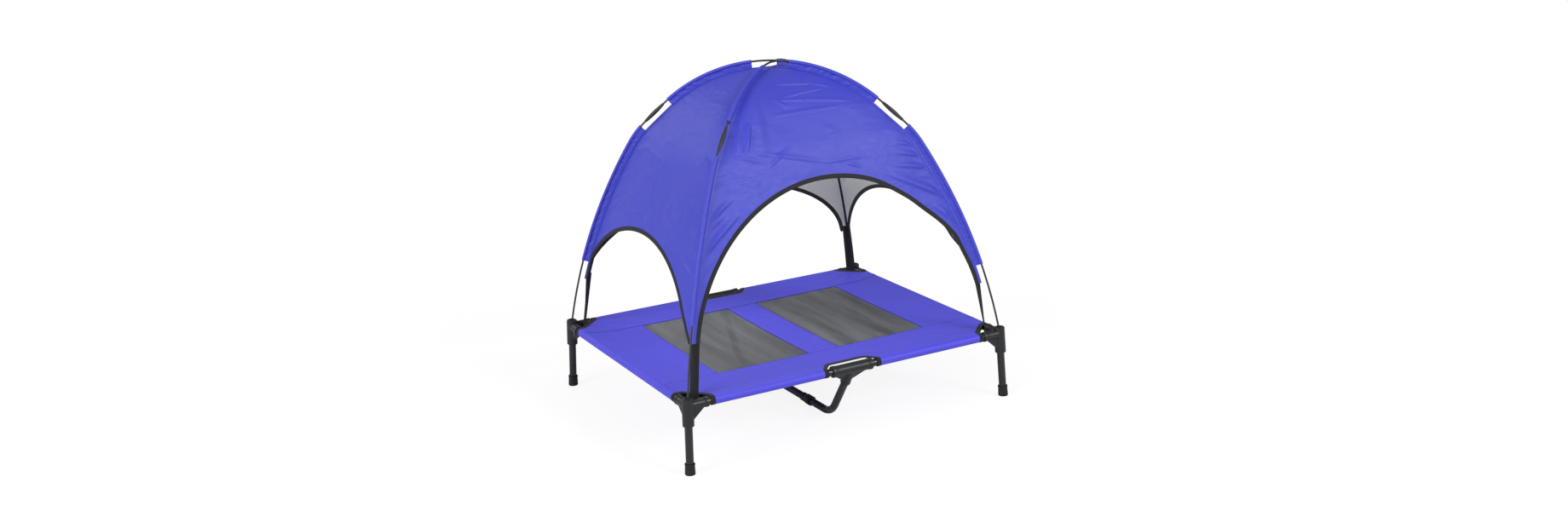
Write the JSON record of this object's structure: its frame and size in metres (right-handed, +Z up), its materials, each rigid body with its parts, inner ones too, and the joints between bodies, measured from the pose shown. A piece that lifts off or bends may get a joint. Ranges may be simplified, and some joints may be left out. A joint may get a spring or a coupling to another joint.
{
  "type": "canopied raised pet cot",
  "caption": "Raised pet cot: a splayed tube frame with a stretched cloth and mesh bed, and a lift-off domed cloth canopy on crossed flexible poles, with an arch in each side.",
  "frame": {"origin": "on the floor under the middle of the cot", "axes": "+X along the long side, +Y towards the rear long side, +Z up"},
  "size_m": [0.9288, 0.7488, 0.8831],
  "materials": {
    "canopy_cloth": "coated polyester, semi-matt",
    "cot_cloth": "coated heavy polyester, semi-matt",
    "mesh": "woven vinyl mesh, matt",
    "binding": "woven tape, matt",
    "webbing": "woven webbing, matt",
    "tube": "black powder coat, semi-gloss",
    "connector": "moulded nylon, fine texture",
    "foot": "moulded rubber, matt",
    "rod": "black glass-fibre rod, satin",
    "pole_joint": "moulded plastic, satin",
    "ferrule": "drawn tube, satin"
  },
  "bodies": {
    "cot": {"brace_coupling_front": "connector", "brace_coupling_rear": "connector", "brace_tee_front": "connector", "brace_tee_rear": "connector", "brace_tube_front": "tube", "brace_tube_middle": "tube", "brace_tube_rear": "tube", "corner_connector_front_left": "connector", "corner_connector_front_right": "connector", "corner_connector_rear_left": "connector", "corner_connector_rear_right": "connector", "cot_sheet": "cot_cloth", "foot_cap_front_left": "foot", "foot_cap_front_right": "foot", "foot_cap_rear_left": "foot", "foot_cap_rear_right": "foot", "leg_front_left": "tube", "leg_front_right": "tube", "leg_rear_left": "tube", "leg_rear_right": "tube", "long_rail_front_left": "tube", "long_rail_front_right": "tube", "long_rail_rear_left": "tube", "long_rail_rear_right": "tube", "mesh_window_left": "mesh", "mesh_window_right": "mesh", "sheet_corner_bindings": "binding", "sheet_notch_bindings": "binding", "short_rail_left": "tube", "short_rail_right": "tube"},
    "canopy": {"arch_binding_front": "binding", "arch_binding_left": "binding", "arch_binding_rear": "binding", "arch_binding_right": "binding", "canopy_panel_front": "canopy_cloth", "canopy_panel_left": "canopy_cloth", "canopy_panel_rear": "canopy_cloth", "canopy_panel_right": "canopy_cloth", "corner_strap_front_left": "webbing", "corner_strap_front_right": "webbing", "corner_strap_rear_left": "webbing", "corner_strap_rear_right": "webbing", "lower_rod_front_left": "rod", "lower_rod_front_right": "rod", "lower_rod_rear_left": "rod", "lower_rod_rear_right": "rod", "pole_ferrules": "ferrule", "pole_joint_front_left": "pole_joint", "pole_joint_front_right": "pole_joint", "pole_joint_rear_left": "pole_joint", "pole_joint_rear_right": "pole_joint", "pole_sleeve_front_left": "canopy_cloth", "pole_sleeve_front_right": "canopy_cloth", "pole_sleeve_rear_left": "canopy_cloth", "pole_sleeve_rear_right": "canopy_cloth", "upper_rod_front_left": "rod", "upper_rod_front_right": "rod", "upper_rod_rear_left": "rod", "upper_rod_rear_right": "rod"}
  },
  "joints": [
    {"name": "canopy_lift", "type": "slide", "parent": "cot", "child": "canopy", "axis": [0, 0, 1], "range_m": [0, 0.12]}
  ]
}
